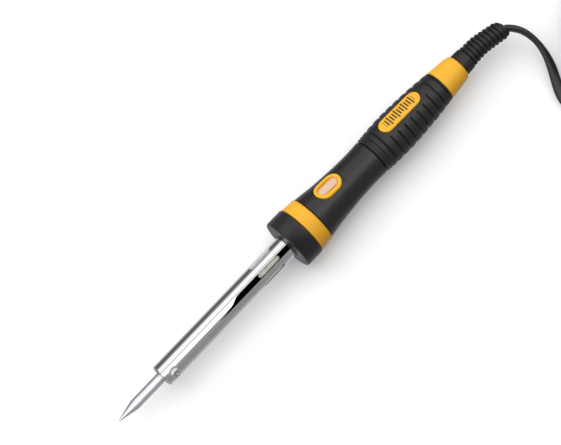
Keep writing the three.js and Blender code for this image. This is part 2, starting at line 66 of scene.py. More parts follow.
# ==== Studio light ================================================================================
# A white tent lights the bench from above and from the iron's left, and is darker to its right. Long
# strips of the tent run along the iron, and are what its bright parts mirror.


class Field:
    """A socket of a node tree. Arithmetic on it adds Math nodes to that tree."""

    def __init__(self, tree, socket):
        self.tree = tree
        self.socket = socket

    def math(self, operation, *others):
        terms = dict(enumerate((self, *others)))
        return self.tree.add("ShaderNodeMath", {"operation": operation}, terms)

    def __add__(self, other):
        return self.math("ADD", other)

    def __sub__(self, other):
        return self.math("SUBTRACT", other)

    def __mul__(self, other):
        return self.math("MULTIPLY", other)

    def __truediv__(self, other):
        return self.math("DIVIDE", other)

    def __mod__(self, other):
        return self.math("FLOORED_MODULO", other)

    def __lt__(self, other):
        return self.math("LESS_THAN", other)

    def __gt__(self, other):
        return self.math("GREATER_THAN", other)

    def __abs__(self):
        return self.math("ABSOLUTE")

    def __neg__(self):
        return self * -1

    def __rsub__(self, other):
        return self * -1 + other

    __radd__ = __add__
    __rmul__ = __mul__

    def fade(self, start, end):
        """0 up to start and 1 from end on, with a soft step between them. The two may run downwards."""
        ends = {"Value": self, "From Min": start, "From Max": end}
        return self.tree.add("ShaderNodeMapRange", {"interpolation_type": "SMOOTHSTEP"}, ends)


class Tree:
    """The nodes of one finish, or of the studio's tent."""

    def __init__(self, owner):
        owner.use_nodes = True
        self.owner = owner
        self.nodes = owner.node_tree.nodes
        self.links = owner.node_tree.links
        self.nodes.clear()

    def add(self, kind, settings={}, inputs={}, output=0):
        """Makes a node: its settings first, then its sockets' values or links. Returns one output."""
        node = self.nodes.new(kind)
        for setting, value in settings.items():
            if setting == "stops":
                self.set_stops(node.color_ramp, value)
            else:
                setattr(node, setting, value)
        for name, value in inputs.items():
            if isinstance(value, Field):
                self.links.new(value.socket, node.inputs[name])
            else:
                node.inputs[name].default_value = value
        return Field(self, node.outputs[output]) if node.outputs else node

    def set_stops(self, ramp, stops):
        """Gives a colour ramp its stops: place and grey level, or place and colour."""
        while len(ramp.elements) < len(stops):
            ramp.elements.new(0.5)
        for element, (place, colour) in zip(ramp.elements, stops):
            element.position = place
            grey = isinstance(colour, (int, float))
            element.color = (colour, colour, colour, 1) if grey else (*colour, 1)

    def ramp(self, share, stops):
        return self.add("ShaderNodeValToRGB", {"stops": stops}, {"Fac": share})

    def mix(self, share, first, second):
        """A colour that goes from the first to the second as share goes from 0 to 1."""
        ends = {0: share, 6: full_colour(first), 7: full_colour(second)}
        return self.add("ShaderNodeMix", {"data_type": "RGBA"}, ends, output=2)


def full_colour(colour):
    return colour if isinstance(colour, Field) else (*colour, 1)


tent = bpy.data.worlds.new("tent")
bpy.context.scene.world = tent
bpy.context.scene.view_settings.view_transform = "Standard"
tent.cycles.sampling_method = "NONE"
tent_tree = Tree(tent)
tent_way = tent_tree.add("ShaderNodeTexCoord")
tent_xyz = tent_tree.add("ShaderNodeSeparateXYZ", {}, {"Vector": tent_way})
tent_xyz = tent_xyz.socket.node.outputs
tent_across = Field(tent_tree, tent_xyz[1])
tent_height = Field(tent_tree, tent_xyz[2])
# The roll of a direction about the iron, as a share of a turn: 0.5 is straight up, more is to the right.
tent_roll = (-tent_across).math("ARCTAN2", tent_height) / (2 * math.pi) + 0.5


def roll_stops(stops):
    """Stops placed by degrees of roll, from -180 to 180."""
    return [((roll + 180) / 360, colour) for roll, colour in stops]


tent_mirrored = tent_tree.ramp(
    tent_roll,
    roll_stops(
        [
            (-180, (0.60, 0.59, 0.66)),
            (-126, (0.62, 0.61, 0.68)),
            (-112, 0.13),
            (-84, 0.10),
            (-72, 0.28),
            (-64, 0.34),
            (-58, 1.06),
            (-26, 1.08),
            (-20, 0.98),
            (-17, 0.48),
            (-11, 0.48),
            (-8, 1.7),
            (24, 1.9),
            (30, 0.34),
            (70, 0.27),
            (105, 0.28),
            (124, 0.36),
            (140, (0.50, 0.49, 0.55)),
            (180, (0.60, 0.59, 0.66)),
        ]
    ),
)
tent_lighting = tent_tree.ramp(
    tent_roll,
    roll_stops([(-180, 0.30), (-110, 0.45), (-80, 1.0), (10, 1.15), (50, 0.45), (100, 0.16), (180, 0.30)]),
)
tent_path = tent_tree.add("ShaderNodeLightPath").socket.node.outputs
mirrored = Field(tent_tree, tent_path["Is Glossy Ray"])
seen = Field(tent_tree, tent_path["Is Camera Ray"])
tent_colour = tent_tree.mix(mirrored, tent_lighting, tent_mirrored)
tent_colour = tent_tree.mix(seen, tent_colour, (1, 1, 1))
tent_glow = tent_tree.add("ShaderNodeBackground", {}, {"Color": tent_colour, "Strength": 1.0})
tent_tree.add("ShaderNodeOutputWorld", {}, {"Surface": tent_glow})

softbox = bpy.data.objects.new("softbox", bpy.data.lights.new("softbox", "AREA"))
bpy.context.scene.collection.objects.link(softbox)
softbox.data.size = 1.1
softbox.data.energy = 5
softbox.visible_glossy = False
softbox_place = Vector((-0.15, 0.45, 0.85))
softbox_turn = softbox_place.to_track_quat("Z", "Y").to_matrix().to_4x4()
softbox.matrix_world = Matrix.Translation(softbox_place) @ softbox_turn

# ==== Bench =======================================================================================
# A sheet of smooth white board, wide enough to fill the view, with only a trace of tooth in it.


def piece_from(name, vertices, faces, finish, crease=35):
    """A piece whose points are in millimetres, smooth but for edges sharper than the crease."""
    mesh = bpy.data.meshes.new(name)
    mesh.from_pydata([Vector(v) / 1000 for v in vertices], [], faces)
    tidy = bmesh.new()
    tidy.from_mesh(mesh)
    bmesh.ops.remove_doubles(tidy, verts=tidy.verts, dist=1e-7)
    bmesh.ops.recalc_face_normals(tidy, faces=tidy.faces)
    tidy.to_mesh(mesh)
    tidy.free()
    mesh.materials.append(finish)
    mesh.shade_smooth()
    mesh.set_sharp_from_angle(angle=math.radians(crease))
    piece = bpy.data.objects.new(name, mesh)
    bpy.context.scene.collection.objects.link(piece)
    return piece


class Finish(Tree):
    """One material, worked out from where a point is on the iron."""

    def __init__(self, name):
        super().__init__(bpy.data.materials.new(name))
        self.place = self.add("ShaderNodeTexCoord", output=3)

    def millimetres(self, stretch=(1, 1, 1)):
        """The point's place in millimetres, squeezed along each axis by stretch."""
        scale = [1000 * share for share in stretch]
        return self.add("ShaderNodeVectorMath", {"operation": "MULTIPLY"}, {0: self.place, 1: scale})

    def parts(self, vector):
        outputs = self.add("ShaderNodeSeparateXYZ", {}, {"Vector": vector}).socket.node.outputs
        return [Field(self, output) for output in outputs]

    def grain(self, size, detail=2, stretch=(1, 1, 1)):
        """Soft noise around 0.5, whose lumps are about size millimetres."""
        inputs = {"Vector": self.millimetres(stretch), "Scale": 1 / size, "Detail": detail}
        return self.add("ShaderNodeTexNoise", {}, inputs)

    def relief(self, height, depth):
        """A bump of a height field, where 1 stands depth millimetres above 0."""
        return self.add("ShaderNodeBump", {}, {"Strength": 1.0, "Distance": depth / 1000, "Height": height})

    def surface(self, colour, rough, normal=None, **others):
        """Ends the finish in one shader and returns the material."""
        sockets = {"Base Color": colour, "Roughness": rough}
        if normal is not None:
            sockets["Normal"] = normal
        sockets |= {name.replace("_", " "): value for name, value in others.items()}
        shader = self.add("ShaderNodeBsdfPrincipled", {}, sockets)
        self.add("ShaderNodeOutputMaterial", {}, {"Surface": shader})
        return self.owner


def bench_board():
    finish = Finish("bench_board")
    colour = finish.mix(finish.grain(60), (0.93, 0.93, 0.93), (0.96, 0.96, 0.96))
    tooth = finish.relief(finish.grain(0.8), 0.02)
    return finish.surface(colour, 0.9, tooth, Specular_IOR_Level=0.1)


half_bench = 4000
bench_corners = [(-half_bench, -half_bench, 0), (half_bench, -half_bench, 0)]
bench_corners += [(half_bench, half_bench, 0), (-half_bench, half_bench, 0)]
bench = piece_from("bench", bench_corners, [(0, 1, 2, 3)], bench_board())
bench.visible_glossy = False
bench.visible_diffuse = False

# ==== Black card over the barrel ==================================================================
# A card held above the rear of the barrel, out of the picture. It darkens one long stripe of what the
# chrome mirrors, so the tube reads as bright metal. Only mirrored light meets it.


def card_black():
    finish = Finish("card_black")
    colour = finish.mix(finish.grain(5), (0.0, 0.0, 0.0), (0.003, 0.003, 0.003))
    return finish.surface(colour, 1.0, Specular_IOR_Level=0.0)


axis_start = Vector((-17.25, 0, 13.9))
card_height = 40
card_outline = [(-32, 3.5), (-42, -46), (14, -46), (14, 3.5)]
card = piece_from(
    "card",
    [axis_start + Vector((x, y, card_height)) for x, y in card_outline],
    [(0, 1, 2, 3)],
    card_black(),
)
card.visible_camera = False
card.visible_diffuse = False
card.visible_shadow = False
card.visible_transmission = False

# ==== Lead: its route =============================================================================
# Flat two-core PVC flex, 5.2 x 3.2 mm. It leaves the boot standing on its edge, drops to the bench in
# an easy bend and lies down flat, then is wound on its edge into a two-layer coil kept by a strap.


def smooth_line(points, step):
    """Points about step apart on a smooth curve through a few points."""
    points = [Vector(point) for point in points]
    points = [2 * points[0] - points[1], *points, 2 * points[-1] - points[-2]]
    line = []
    for before, here, there, after in zip(points, points[1:], points[2:], points[3:]):
        span, span_in, span_out = (there - here).length, (here - before).length, (after - there).length
        leave = (here - before) / span_in - (there - before) / (span_in + span) + (there - here) / span
        arrive = (there - here) / span - (after - here) / (span + span_out) + (after - there) / span_out
        pieces = max(1, round(span / step))
        for i in range(pieces):
            t = i / pieces
            line.append(
                (2 * t**3 - 3 * t**2 + 1) * here
                + (t**3 - 2 * t**2 + t) * span * leave
                + (3 * t**2 - 2 * t**3) * there
                + (t**3 - t**2) * span * arrive
            )
    return [*line, points[-2]]


def line_length(line):
    return sum((b - a).length for a, b in zip(line, line[1:]))


lead_wide, lead_thick = 5.2, 3.2
lead_exit = Vector((132.85, -3.34, 13.9))
lead_drop = [
    lead_exit,
    (134.2, -4.3, 13.7),
    (136, -6.5, 13.3),
    (137.9, -9.6, 12.5),
    (139, -13, 11.4),
    (139.6, -16.7, 10),
    (139.6, -20.6, 8.6),
    (138.8, -25, 7.1),
    (137.4, -29.3, 5.8),
    (135.4, -33.5, 4.8),
    (133, -37.7, 4),
    (130.6, -41.8, 3.3),
    (128.8, -46.5, 2.6),
    (128.6, -52, 2.1),
    (130.2, -57.7, 1.9),
    (133, -63, 1.9),
    (137.4, -68, 2.1),
    (143.4, -72.4, 2.5),
    (150.8, -76, 2.8),
    (159, -78.5, 3.2),
]
coil_centre = Vector((179, -47.5, 0))
coil_inner, coil_outer = 23.2, 34
coil_low, coil_high = 3.3, 8.8
coil_start, coil_turnover, coil_end = 250, 250 + 3 * 360, 240 + 6 * 360
climb_sweep = 90
plug_height = 18.5
tail_radius = 22
tail_sweep = 120
tail_joins = 38  # degrees into the tail where its rise becomes steeper
lift_sweep = 55  # the last turn starts to rise this many degrees before it leaves the coil


def eased(share):
    share = min(1, max(0, share))
    return share * share * (3 - 2 * share)


def tail_rise(turn):
    """Height of the tail, with turn counted from where it leaves the coil."""
    if turn > tail_joins:
        return coil_high + (plug_height - coil_high) * math.sin(math.pi / 2 * turn / tail_sweep)
    before = math.radians(lift_sweep) * coil_outer
    along = before + math.radians(turn) * (coil_outer if turn < 0 else tail_radius)
    whole = before + math.radians(tail_joins) * tail_radius
    top = (plug_height - coil_high) * math.sin(math.pi / 2 * tail_joins / tail_sweep)
    return coil_high + top * max(0, along / whole) ** 1.5


def coil_point(turn):
    if turn < coil_turnover:
        share = (turn - coil_start) / (coil_turnover - coil_start)
        radius = coil_outer + (coil_inner - coil_outer) * share
    else:
        share = (turn - coil_turnover) / (coil_end - coil_turnover)
        radius = coil_inner + (coil_outer - coil_inner) * share
    climb = eased((turn - coil_turnover + climb_sweep) / climb_sweep)
    height = coil_low + (coil_high - coil_low) * climb
    if turn > coil_end - lift_sweep:
        height = tail_rise(turn - coil_end)
    angle = math.radians(turn)
    return coil_centre + Vector((radius * math.cos(angle), radius * math.sin(angle), height))


def tail_point(turn):
    start, angle = math.radians(coil_end), math.radians(coil_end + turn)
    off_centre = coil_outer - tail_radius
    return coil_centre + Vector(
        (
            off_centre * math.cos(start) + tail_radius * math.cos(angle),
            off_centre * math.sin(start) + tail_radius * math.sin(angle),
            tail_rise(turn),
        )
    )


lead_points = [Vector(point) for point in lead_drop]
lead_points += [coil_point(turn) for turn in range(coil_start, coil_end, 10)]
lead_points += [tail_point(turn) for turn in range(0, tail_sweep + 1, 10)]
plug_start = lead_points[-1] + Vector((0, 2.3, 0))
lead_points += [plug_start, plug_start + Vector((0, 5, 0))]
lead_line = smooth_line(lead_points, 1.2)
for _ in range(6):
    middles = [(a + 2 * b + c) / 4 for a, b, c in zip(lead_line, lead_line[1:], lead_line[2:])]
    lead_line = [lead_line[0], *middles, lead_line[-1]]


def lead_pvc():
    """Smooth extruded PVC, a little uneven from the die, with a trace of dust."""
    finish = Finish("lead_pvc")
    cloud = finish.grain(9, 3)
    fine = finish.grain(0.35, 3)
    colour = finish.mix(cloud, (0.007, 0.007, 0.008), (0.013, 0.013, 0.014))
    rough = finish.ramp(cloud, [(0.3, 0.32), (0.7, 0.42)])
    height = fine * 0.3 + cloud
    return finish.surface(colour, rough, finish.relief(height, 0.03))


# ==== Lead: plug ==================================================================================
# A two-pin mains plug moulded onto the flex: a flat tapered body in fine-grained black plastic, with
# grip ribs on its sides and two nickel-plated pins, and a short ribbed sleeve behind it.

ring_points = 64


def lofted(name, rings, finish, crease=35, caps=(True, True), to_place=None):
    """A skin over rings of equally many points, in order, closed with a face at its ends."""
    count = len(rings[0])
    vertices = [point for ring in rings for point in ring]
    faces = []
    for i in range(len(rings) - 1):
        for j in range(count):
            k = (j + 1) % count
            faces.append((i * count + j, i * count + k, (i + 1) * count + k, (i + 1) * count + j))
    if caps[0]:
        faces.append(tuple(range(count)))
    if caps[1]:
        faces.append(tuple(range((len(rings) - 1) * count, len(rings) * count)))
    if to_place is not None:
        vertices = [to_place @ Vector(v) for v in vertices]
    return piece_from(name, vertices, faces, finish, crease)


def squarish(half_width, half_height, power, points=ring_points):
    """Points of a rounded box outline: the higher the power, the squarer it is."""
    outline = []
    for i in range(points):
        angle = 2 * math.pi * i / points
        c, s = math.cos(angle), math.sin(angle)
        reach = (abs(c) ** power + abs(s) ** power) ** (-1 / power)
        outline.append((half_width * reach * c, half_height * reach * s))
    return outline


plug_boot_length = 15.7
plug_gap = 0.3
plug_length, plug_width, plug_thick, plug_tail = 34, 34, 13.4, 13
to_plug = Matrix.Translation(plug_start)


def plug_plastic():
    finish = Finish("plug_plastic")
    spark = finish.grain(0.45, 2)
    cloud = finish.grain(12)
    colour = finish.mix(cloud, (0.014, 0.014, 0.015), (0.023, 0.023, 0.024))
    rough = finish.ramp(cloud, [(0.3, 0.40), (0.7, 0.50)])
    return finish.surface(colour, rough, finish.relief(spark, 0.05))


def plug_shell():
    """The body, whose front is flat and whose shoulders carry grip ribs."""
    rings = []
    steps = 88
    tail_half, edge_round = 4.6, 1.2
    rib_start, rib_end, rib_pitch, rib_depth = 12, 25, 2.6, 0.45
    for i in range(steps + 1):
        along = plug_length * i / steps
        share = eased(min(1, along / (plug_length * 0.62)))
        half_width = plug_tail / 2 + (plug_width - plug_tail) / 2 * share
        half_height = tail_half + (plug_thick / 2 - tail_half) * eased(min(1, along / 14))
        if rib_start < along < rib_end:
            wave = 0.5 - 0.5 * math.cos(2 * math.pi * (along - rib_start) / rib_pitch)
            half_width -= rib_depth * wave * share
        edge = min(along, plug_length - along)
        if edge < edge_round:
            tuck = edge_round - math.sqrt(max(0, edge_round**2 - (edge_round - edge) ** 2))
            half_width -= tuck
            half_height -= tuck
        y = plug_boot_length + plug_gap + along
        rings.append([(u, y, v) for u, v in squarish(half_width, half_height, 2.6 + 2.2 * share)])
    return lofted("plug_shell", rings, plug_plastic(), to_place=to_plug)


def filleted(corners, closed=True, pieces=6):
    """An outline whose corners, given as (along, out, radius of the fillet), are rounded."""
    outline = []
    count = len(corners)
    for i, corner in enumerate(corners):
        here = Vector(corner[:2])
        radius = corner[2] if len(corner) > 2 else 0
        at_end = not closed and i in (0, count - 1)
        if radius == 0 or at_end:
            outline.append(here)
            continue
        back = Vector(corners[i - 1][:2]) - here
        ahead = Vector(corners[(i + 1) % count][:2]) - here
        half = back.angle(ahead) / 2
        reach = min(radius / math.tan(half), 0.49 * back.length, 0.49 * ahead.length)
        start, end = here + back.normalized() * reach, here + ahead.normalized() * reach
        centre = here + (back.normalized() + ahead.normalized()).normalized() * (reach / math.cos(half))
        a, b = start - centre, end - centre
        sweep = a.angle(b) if a.length > 1e-9 else 0
        for k in range(pieces + 1):
            t = k / pieces
            if sweep < 1e-6:
                outline.append(start.lerp(end, t))
            else:
                outline.append(
                    centre + (a * math.sin((1 - t) * sweep) + b * math.sin(t * sweep)) / math.sin(sweep)
                )
    return outline


def turned(name, outline, finish, to_place, sides=96, crease=35, closed=True):
    """A piece turned about its own x axis. An outline that isn't closed starts and ends on the axis."""
    vertices, faces = [], []
    for along, out in outline:
        for j in range(sides):
            angle = 2 * math.pi * j / sides
            vertices.append(to_place @ Vector((along, -out * math.sin(angle), out * math.cos(angle))))
    rows = len(outline)
    for i in range(rows if closed else rows - 1):
        n = (i + 1) % rows
        for j in range(sides):
            k = (j + 1) % sides
            quad = [i * sides + j, i * sides + k, n * sides + k, n * sides + j]
            if outline[i][1] == 0:
                quad = [i * sides, n * sides + k, n * sides + j]
            elif outline[n][1] == 0:
                quad = [i * sides + j, i * sides + k, n * sides]
            faces.append(quad)
    return piece_from(name, vertices, faces, finish, crease)


to_plug_axis = to_plug @ Matrix.Rotation(math.pi / 2, 4, "Z")


def plug_sleeve_outline():
    """Ribs that grow towards the plug, over a plain tube."""
    corners = [(0, 0), (0, 2.95, 0.5)]
    for along in (3, 6, 9, 12):
        reach = 3.6 + along * 0.1
        corners += [(along, 3.3, 0.2), (along + 0.5, reach, 0.5)]
        corners += [(along + 2.2, reach, 0.5), (along + 2.6, 3.4, 0.2)]
    return filleted([*corners, (plug_boot_length, 3.6, 0.3), (plug_boot_length, 0)], closed=False, pieces=4)


def soft_rubber(name, dark, light):
    """Moulded rubber, matt, with a faint bloom and a fine spark-eroded skin."""
    finish = Finish(name)
    cloud = finish.grain(7, 3)
    skin = finish.grain(0.25, 2)
    colour = finish.mix(cloud, dark, light)
    rough = finish.ramp(cloud, [(0.3, 0.44), (0.7, 0.56)])
    return finish.surface(colour, rough, finish.relief(skin, 0.03))


def pin_nickel():
    """Bright nickel with fine lengthwise wear where the pins rub in a socket."""
    finish = Finish("pin_nickel")
    rub = finish.grain(0.3, 3, stretch=(1, 0.06, 1))
    colour = finish.mix(rub, (0.72, 0.70, 0.66), (0.86, 0.84, 0.80))
    rough = finish.ramp(rub, [(0.35, 0.14), (0.65, 0.30)])
    return finish.surface(colour, rough, finish.relief(rub, 0.01), Metallic=1.0)


boot_rubber = soft_rubber("boot_rubber", (0.007, 0.007, 0.008), (0.014, 0.013, 0.013))
nickel = pin_nickel()
plug_pieces = [
    plug_shell(),
    turned("plug_sleeve", plug_sleeve_outline(), boot_rubber, to_plug_axis, sides=48, closed=False),
]
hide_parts("plug_body")
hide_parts("plug_boot")
pin_offset = 9.4
pin_base = plug_boot_length + plug_length + 2 * plug_gap
pin_corners = [(-0.3, 0), (-0.3, 2.0), (0.5, 2.0, 0.1), (0.7, 1.85, 0.1), (1.1, 1.85, 0.1)]
pin_corners += [(1.3, 2.0, 0.1), (18, 2.0, 1.2), (19, 1.1, 0.8), (19, 0)]
pin_outline = filleted([(pin_base + corner[0], *corner[1:]) for corner in pin_corners], closed=False)
for number, side in ((1, -1), (2, 1)):
    to_pin = Matrix.Translation((side * pin_offset, 0, 0)) @ to_plug_axis
    pin = turned(f"pin_{number}", pin_outline, nickel, to_pin, sides=40, closed=False)
    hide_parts(f"plug_pin_{number}")
    plug_pieces.append(pin)
for piece in plug_pieces:
    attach(piece, "iron")

# ==== Lead: strap =================================================================================
# A woven hook-and-loop strap, 6 mm wide, goes once round the bundle.


def strap_weave():
    finish = Finish("strap_weave")
    across, along = finish.parts(finish.millimetres())[:2]
    threads = (across * 4.2).math("SINE") * (along * 4.2).math("SINE")
    fuzz = finish.grain(0.5, 3)
    height = threads * 0.4 + fuzz
    colour = finish.mix(fuzz, (0.012, 0.012, 0.013), (0.034, 0.034, 0.036))
    weave = finish.relief(height, 0.1)
    return finish.surface(colour, 0.85, weave, Sheen_Weight=0.3, Sheen_Roughness=0.5)


strap_turn = 160
strap_half = 3
strap_loop = [(-7.9, 0.3), (7.9, 0.3), (7.9, 12.0), (-7.9, 12.0)]
strap_corners = [(out, up, 1.6) for out, up in strap_loop]
strap_middle = (coil_inner + coil_outer) / 2
to_strap = (
    Matrix.Translation(coil_centre)
    @ Matrix.Rotation(math.radians(strap_turn), 4, "Z")
    @ Matrix.Translation((strap_middle, 0, 0))
)


def strap_rings():
    """Cross-sections of the strap, 0.42 mm thick with soft edges, all the way round the bundle."""
    loop = filleted(strap_corners, pieces=7)
    middle = Vector((0, 6.15))
    rings = []
    for i, point in enumerate(loop):
        away = (loop[(i + 1) % len(loop)] - loop[i - 1]).normalized()
        out = Vector((away.y, -away.x))
        if out.dot(point - middle) < 0:
            out = -out
        ring = []
        for u, v in squarish(strap_half, 0.2, 5, 24):
            spot = point + out * v
            ring.append(to_strap @ Vector((spot.x, u, spot.y)))
        rings.append(ring)
    return [*rings, rings[0]]


strap = lofted("strap", strap_rings(), strap_weave(), caps=(False, False))
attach(strap, "iron")
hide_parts("coil_tie")

# ==== Lead: the flex itself =======================================================================
# Its real length is in the coil. Its section is a long oval, drawn out a little at its two edges.


def lead_turn(travelled, whole):
    """How far the flex has rolled over: 0 on its edge, 1 lying flat."""
    lies_down = eased((travelled - 4) / 48)
    stands_up = eased((travelled - (whole - 40)) / 34)
    return lies_down * (1 - stands_up)


def lead_rings():
    drop_length = line_length(smooth_line(lead_drop, 1.2))
    section = squarish(lead_wide / 2, lead_thick / 2, 2.5, 28)
    rings = []
    travelled = 0
    for i, point in enumerate(lead_line):
        ahead = lead_line[min(i + 1, len(lead_line) - 1)]
        behind = lead_line[max(i - 1, 0)]
        along = (ahead - behind).normalized()
        side = along.cross(Vector((0, 0, 1))).normalized()
        up = side.cross(along)
        if i:
            travelled += (point - behind).length
        roll = math.pi / 2 * lead_turn(travelled, drop_length)
        wide = math.cos(roll) * up + math.sin(roll) * side
        thin = math.cos(roll) * side - math.sin(roll) * up
        rings.append([point + wide * u + thin * v for u, v in section])
    return rings


lead_length = line_length(lead_line)
lead = lofted("lead", lead_rings(), lead_pvc())
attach(lead, "iron")
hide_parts("cord", "cord_coil", "cord_tail")
[point / 1000 for point in lead_line]

# ==== Bit =========================================================================================
# A copper rod 5.4 mm across, plated with iron and nickel and turned to a point. Its point is tinned.

to_iron = Matrix.Translation(axis_start)
bit_point, bit_end, bit_radius = -115.6, -40, 2.7


def bit_plating():
    """Satin nickel with turning marks, smooth bright tin on the cone, and a straw tint by the barrel."""
    finish = Finish("bit_plating")
    along = finish.parts(finish.millimetres())[0] - axis_start.x
    rings = finish.grain(0.22, 2, stretch=(1, 0.03, 0.03))
    cloud = finish.grain(3, 3)
    plated = finish.mix(cloud, (0.86, 0.85, 0.88), (0.95, 0.94, 0.97))
    hot = along.fade(-92, -84)
    plated = finish.mix(hot * cloud * 0.4, plated, (0.66, 0.58, 0.48))
    tinned = along.fade(-104.3, -105.3)
    colour = finish.mix(tinned, plated, (0.88, 0.88, 0.92))
    rough = cloud * 0.12 + 0.36 - tinned * 0.05
    height = rings * (1 - tinned) + cloud * tinned * 2
    return finish.surface(colour, rough, finish.relief(height, 0.02), Metallic=1.0)


bit_corners = [(bit_point, 0), (bit_point, 0.36, 0.3), (bit_point + 10.7, bit_radius, 2.2)]
bit_corners += [(bit_end, bit_radius, 0.4), (bit_end, 0)]
bit_outline = filleted(bit_corners, closed=False, pieces=10)
bit = turned("bit", bit_outline, bit_plating(), to_iron, sides=96, closed=False)
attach(bit, "bit")
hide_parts("soldering_bit")

# ==== Heater ======================================================================================
# Flat resistance wire wound over mica on a steel sleeve that holds the bit, wrapped in mica again and
# closed by a ceramic cap. Two conductors in woven glass sleeving run back from it inside a thin liner.


def dress(finish, *names):
    """Gives CAD nodes their finish."""
    for name in names:
        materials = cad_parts[name].data.materials
        materials.clear()
        materials.append(finish)


def zinc_steel():
    """Zinc-plated steel, brushed lengthwise by handling, a little cloudy."""
    finish = Finish("zinc_steel")
    streaks = finish.grain(0.4, 3, stretch=(0.08, 1, 1))
    cloud = finish.grain(4)
    colour = finish.mix(cloud, (0.58, 0.58, 0.60), (0.76, 0.76, 0.77))
    rough = streaks * 0.2 + 0.25
    return finish.surface(colour, rough, finish.relief(streaks, 0.01), Metallic=1.0)


def mica_sheet():
    """Laminated mica: amber flakes laid flat, with a silky gloss."""
    finish = Finish("mica_sheet")
    inputs = {"Vector": finish.millimetres((0.6, 1, 1)), "Scale": 0.8}
    flakes = finish.add("ShaderNodeTexVoronoi", {}, inputs, output=1)
    flake = finish.parts(flakes)[0]
    colour = finish.mix(flake, (0.50, 0.38, 0.20), (0.78, 0.68, 0.48))
    rough = flake * 0.3 + 0.3
    return finish.surface(colour, rough, finish.relief(flake, 0.02))


def heater_wire():
    """Resistance wire browned by heat, each turn a shade different."""
    finish = Finish("heater_wire")
    along = finish.parts(finish.millimetres())[0]
    turns = (along * 4.19).math("SINE") * 0.5 + 0.5
    scale = finish.grain(0.7, 3)
    colour = finish.mix(scale, (0.16, 0.12, 0.10), (0.46, 0.40, 0.34))
    return finish.surface(colour, scale * 0.4 + 0.3, finish.relief(turns, 0.1), Metallic=0.9)


def white_ceramic():
    finish = Finish("white_ceramic")
    specks = finish.grain(0.5, 4)
    colour = finish.mix(specks, (0.70, 0.65, 0.56), (0.90, 0.87, 0.80))
    return finish.surface(colour, specks * 0.3 + 0.45, finish.relief(specks, 0.04))


def glass_braid():
    """Woven glass-fibre sleeving: two sets of strands that cross."""
    finish = Finish("glass_braid")
    along, across, up = finish.parts(finish.millimetres())
    roll = across.math("ARCTAN2", up)
    braid = (along * 6 + roll * 4).math("SINE") * (along * 6 - roll * 4).math("SINE")
    colour = finish.mix(braid * 0.5 + 0.5, (0.58, 0.52, 0.38), (0.86, 0.82, 0.70))
    return finish.surface(colour, 0.8, finish.relief(braid, 0.08))


def mottled(name, dark, light, size, rough, metallic=0.0):
    """A plain moulded or turned finish with a fine mottle."""
    finish = Finish(name)
    cloud = finish.grain(size, 3)
    skin = finish.grain(0.3, 2)
    colour = finish.mix(cloud, dark, light)
    return finish.surface(colour, cloud * 0.2 + rough, finish.relief(skin, 0.02), Metallic=metallic)


steel = zinc_steel()
mica = mica_sheet()
ceramic = white_ceramic()
dress(steel, "front_bush", "bit_sleeve", "heater_lead_1", "heater_lead_2")
dress(mottled("liner_steel", (0.80, 0.76, 0.68), (0.94, 0.91, 0.84), 3, 0.5, 0.6), "barrel_liner")
dress(mica, "mica_wrap", "mica_cover")
dress(heater_wire(), "heater_winding")
dress(ceramic, "heater_end_cap")
dress(glass_braid(), "lead_sleeve_1", "lead_sleeve_2")

# ==== Barrel ======================================================================================
# Thin steel tube, 12 mm across, chrome plated and polished. Its front edge is spun inwards, six
# cooling slots are punched near the handle, and one round hole takes the clamp screw.

barrel_front, barrel_back = -86.5, 5
barrel_outer, barrel_inner = 6.0, 5.5
clamp_x, clamp_turn = -81.2, math.radians(38.5)


def cut_away(piece, tools):
    """Cuts tools out of a piece, then throws them away."""
    for tool in tools:
        cutter = piece.modifiers.new("cut", "BOOLEAN")
        cutter.operation = "DIFFERENCE"
        cutter.solver = "EXACT"
        cutter.object = tool
    bpy.context.view_layer.update()
    evaluated = piece.evaluated_get(bpy.context.evaluated_depsgraph_get())
    mesh = bpy.data.meshes.new_from_object(evaluated)
    piece.modifiers.clear()
    piece.data = mesh
    for tool in tools:
        bpy.data.objects.remove(tool)


def oblong(length, width, points=24):
    """Points of a slot's outline: two straight sides and two half circles."""
    outline = []
    reach, radius = (length - width) / 2, width / 2
    for end in (1, -1):
        for i in range(points + 1):
            angle = math.pi * (i / points - 0.5) + (0 if end == 1 else math.pi)
            outline.append((end * reach + radius * math.cos(angle), radius * math.sin(angle)))
    return outline


def punch(outline, x, heights, turn, finish):
    """A prism that stands out from the iron's axis at x, from one height to another, at a roll."""
    to_place = to_iron @ Matrix.Rotation(turn, 4, "X") @ Matrix.Translation((x, 0, 0))
    rings = [[(u, v, height) for u, v in outline] for height in heights]
    return lofted("punch", rings, finish, to_place=to_place)


def barrel_chrome():
    """Bright chrome. Polishing left hair-fine lines, and the heat a faint warm tint at the front."""
    finish = Finish("barrel_chrome")
    along = finish.parts(finish.millimetres())[0] - axis_start.x
    hairs = finish.grain(0.15, 2, stretch=(0.02, 1, 1))
    smear = finish.grain(9, 3)
    colour = finish.mix(smear, (0.86, 0.86, 0.875), (0.92, 0.92, 0.93))
    colour = finish.mix(along.fade(-72, -88) * 0.35, colour, (0.86, 0.82, 0.76))
    rough = smear * 0.04 + 0.025
    return finish.surface(colour, rough, finish.relief(hairs, 0.0006), Metallic=1.0)


